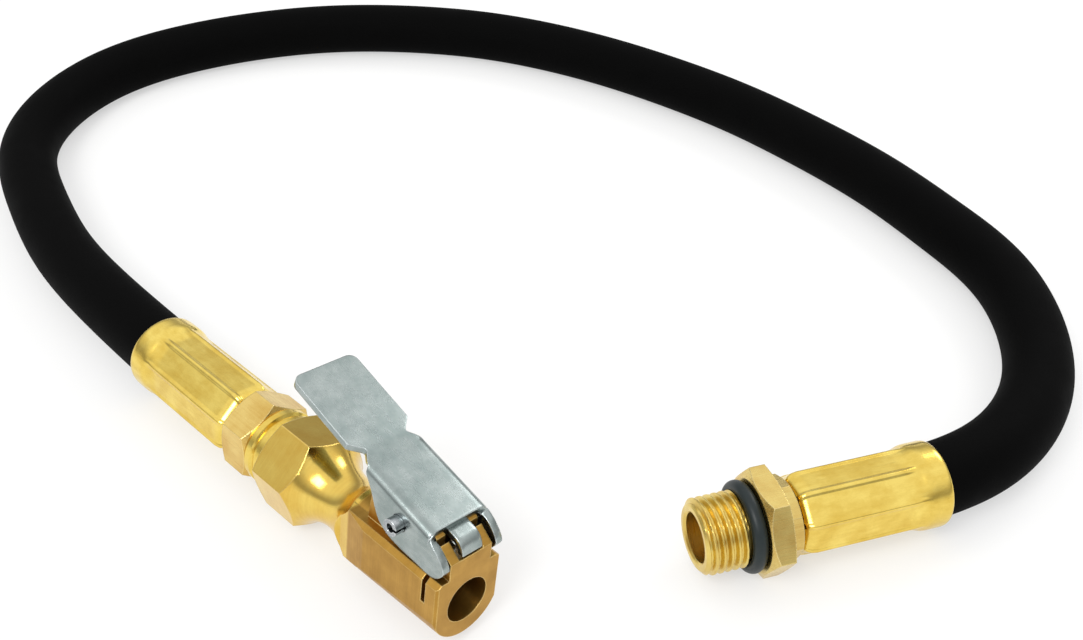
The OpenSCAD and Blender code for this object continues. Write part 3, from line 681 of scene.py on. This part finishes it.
# plate and cheeks: s runs across the sheet to its outline at each x, then the fold gives y and z
def makePlate():
    end, corner, half, front = lever["thumbEnd"], lever["corner"], lever["halfWidth"], lever["front"]
    bottom, top, flat = (np.array(lever[key]) for key in ("cheekBottom", "cheekTop", "flat"))
    neckStart, cheekStart, tip = flat[0, 0], bottom[0, 0], bottom[-1, 0]
    nose = corner * (1 - np.cos(np.linspace(0, tau / 4, 8)))
    x = np.concatenate([end + nose, np.linspace(end + corner, neckStart, 24)[1:],
                        np.linspace(neckStart, cheekStart, 19)[1:], np.linspace(cheekStart, lever["finer"], 22)[1:],
                        np.linspace(lever["finer"], front, 24)[1:],
                        front + (tip - front) * np.sin(np.linspace(0, tau / 4, 24))[1:]])
    # half width of the sheet: rounded thumb end, waisted neck, then down to the cheek's lower edge
    thumb = half - corner + np.sqrt(np.maximum(corner ** 2 - np.maximum(corner - (x - end), 0) ** 2, 0))
    reach = np.where(x < neckStart, thumb, np.interp(x, flat[:, 0], flat[:, 1]))
    reach = np.where(x > flat[-1, 0], acrossAt(np.interp(x, bottom[:, 0], bottom[:, 1])), reach)
    # columns: half across the plate, then the bend, then the cheek
    plateCells, plateShare, bendShare = 8, 0.4, 0.62
    t = np.concatenate([np.linspace(0, plateShare, plateCells + 1), np.linspace(plateShare, bendShare, 9)[1:],
                        np.linspace(bendShare, 1, 15)[1:]])
    flatHalf, bendEnd = half - lever["bend"], half - lever["bend"] + lever["bend"] * tau / 4
    marks = np.stack([reach * 0, np.minimum(flatHalf, 0.70 * reach), np.minimum(bendEnd, 0.86 * reach), reach],
                     axis=-1)
    s = np.stack([np.interp(t, [0, plateShare, bendShare, 1], row) for row in marks])
    # ahead of the plate's front only the cheeks go on, between their two edges
    cheek = acrossAt(np.interp(x, top[:, 0], top[:, 1]))[:, None]
    share = np.clip((t - plateShare) / (1 - plateShare), 0, 1)[None, :]
    ahead = (x > front + 1e-6)[:, None]
    s = np.where(ahead & (t >= plateShare)[None, :], cheek + (reach[:, None] - cheek) * share, s)
    s = np.concatenate([-s[:, :0:-1], s], axis=1)
    # the thumb plate stays flat; the fold grows over the neck
    folded = np.clip((x[:, None] - lever["foldFrom"]) / lever["foldOver"], 0, 1)
    y, z = foldAcross(s)
    y, z = s + (y - s) * folded, lever["top"] + (z - lever["top"]) * folded
    # behind the notch the thumb plate is bent up: a slope with a soft start
    back = lever["notch"] - x
    lift = math.tan(math.radians(lever["thumbBend"])) * (back + np.sqrt(back ** 2 + 0.5)) / 2
    grid = np.stack([x[:, None] + 0 * y, y, z + lift[:, None]], axis=-1) * mm
    columns = np.arange(s.shape[1] - 1)
    middle = np.abs(columns + 0.5 - (s.shape[1] - 1) / 2) < plateCells
    keep = ~(ahead[1:] & middle[None, :])
    hole = makeHoleCutter()
    makeSheet("leverPlate", onLever(grid), keep, hole=hole)
    bpy.data.objects.remove(hole)


# tongue: level under the plate, then an arc down in front; its leg goes through the slot to the valve
def makeTongue():
    tongue = lever["tongue"]
    (middleX, middleZ), radius = tongue["centre"], tongue["radius"]
    arc = np.radians(np.linspace(90, tongue["end"], 15))
    x = np.concatenate([np.linspace(tongue["from"], middleX, 5)[:-1], middleX + radius * np.cos(arc)])
    z = np.concatenate([np.full(4, middleZ + radius), middleZ + radius * np.sin(arc)])
    side = np.linspace(-1, 1, 7) * tongue["wide"] / 2 + tongue["aside"]
    for name, a, b in (("leverTongue", x, z),
                       ("leverLeg", np.full(8, tongue["legAt"]), np.linspace(tongue["legTop"], tongue["legEnd"], 8))):
        strip = np.stack([a[:, None] + 0 * side, side + 0 * a[:, None], b[:, None] + 0 * side], axis=-1) * mm
        makeSheet(name, onLever(strip), np.ones((len(a) - 1, len(side) - 1), dtype=bool))


makePlate()
makeTongue()
print("lever pressed")


# solids whose own shape shows: tail nut, washer, chuck with its seat and poppet, and the pin
finish = {"chuck_tail": brassHexChuckPaintedLighter, "tail_washer": brassBrightChuck, "chuck_body": brassTurned,
          "valve_seal": seatRubber, "poppet": springSteel, "poppet_seal": sealRubber, "pivot_pin": springSteel}


def dressNodes():
    for name, material in finish.items():
        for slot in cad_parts[name].material_slots:
            slot.material = material
    print("CAD nodes dressed")


dressNodes()


# floor and light: soft daylight from above, darker above a pale horizon, so that metal shows its shape
# sky is (height of the direction, brightness); shadow is how much of the object's shadow the white floor keeps;
# a lamp is (place, width, power); metres and watts
studio = {"floor": "#F6F6F5", "shadow": 0.45, "half": 3.0, "aim": (-0.02, 0.06, 0),
          "sky": [(0.0, 0.96), (0.06, 0.96), (0.15, 0.42), (0.28, 0.42), (0.62, 1.05), (1.0, 1.05)],
          "lamps": {"keyLight": ((-0.42, -0.30, 0.62), 0.34, 2.6), "rimLight": ((0.55, 0.35, 0.5), 0.25, 1.0)}}


# white paper: seen directly or mirrored it is part plain white, part lit paper that carries the shadow
def makeFloor():
    half, z = studio["half"], hose["floor"] * mm
    mesh = bpy.data.meshes.new("floor")
    mesh.from_pydata([(-half, -half, z), (half, -half, z), (half, half, z), (-half, half, z)], [], [(0, 1, 2, 3)])
    material, tree = newMaterial("paper sheet, white")
    paper = addNode(tree, "ShaderNodeBsdfPrincipled", {"Base Color": srgb(studio["floor"]), "Roughness": 0.9,
                                                       "Specular IOR Level": 0.1})
    glow = addNode(tree, "ShaderNodeEmission", {"Color": (1, 1, 1, 1), "Strength": 1.0})
    rays = addNode(tree, "ShaderNodeLightPath")
    direct = addNode(tree, "ShaderNodeMath", {"operation": "MAXIMUM"}, i0=rays.outputs["Is Camera Ray"],
                     i1=rays.outputs["Is Glossy Ray"]).outputs[0]
    direct = addNode(tree, "ShaderNodeMath", {"operation": "MAXIMUM"}, i0=direct,
                     i1=rays.outputs["Is Transmission Ray"]).outputs[0]
    share = addNode(tree, "ShaderNodeMath", {"operation": "MULTIPLY"}, i0=direct, i1=1 - studio["shadow"])
    mixed = addNode(tree, "ShaderNodeMixShader", i0=share.outputs[0], i1=paper.outputs[0], i2=glow.outputs[0])
    addNode(tree, "ShaderNodeOutputMaterial", Surface=mixed.outputs[0])
    mesh.materials.append(material)
    floor = bpy.data.objects.new("floor", mesh)
    bpy.context.scene.collection.objects.link(floor)


# brightness goes by the direction's height, the same for every kind of ray
def makeSky():
    world = bpy.data.worlds.new("studio")
    bpy.context.scene.world = world
    world.use_nodes = True
    tree = world.node_tree
    tree.nodes.clear()
    direction = addNode(tree, "ShaderNodeTexCoord").outputs["Generated"]
    height = addNode(tree, "ShaderNodeSeparateXYZ", Vector=direction).outputs["Z"]
    sky = addNode(tree, "ShaderNodeValToRGB", {"stops": studio["sky"]}, Fac=height).outputs["Color"]
    lit = addNode(tree, "ShaderNodeBackground", {"Strength": 1.0}, Color=sky).outputs[0]
    addNode(tree, "ShaderNodeOutputWorld", Surface=lit)


# each lamp looks down its own -z: tipped to the steepness of its aim, then turned to its heading
def makeLamps():
    for name, (place, width, power) in studio["lamps"].items():
        data = bpy.data.lights.new(name, "AREA")
        data.size = width
        data.energy = power
        lamp = bpy.data.objects.new(name, data)
        lamp.location = place
        aimed = np.array(studio["aim"]) - np.array(place)
        lamp.rotation_euler = (math.atan2(math.hypot(aimed[0], aimed[1]), -aimed[2]), 0,
                               math.atan2(aimed[1], aimed[0]) - math.pi / 2)
        bpy.context.scene.collection.objects.link(lamp)


makeFloor()
makeSky()
makeLamps()
bpy.context.scene.view_settings.view_transform = "Standard"
print("studio lit")
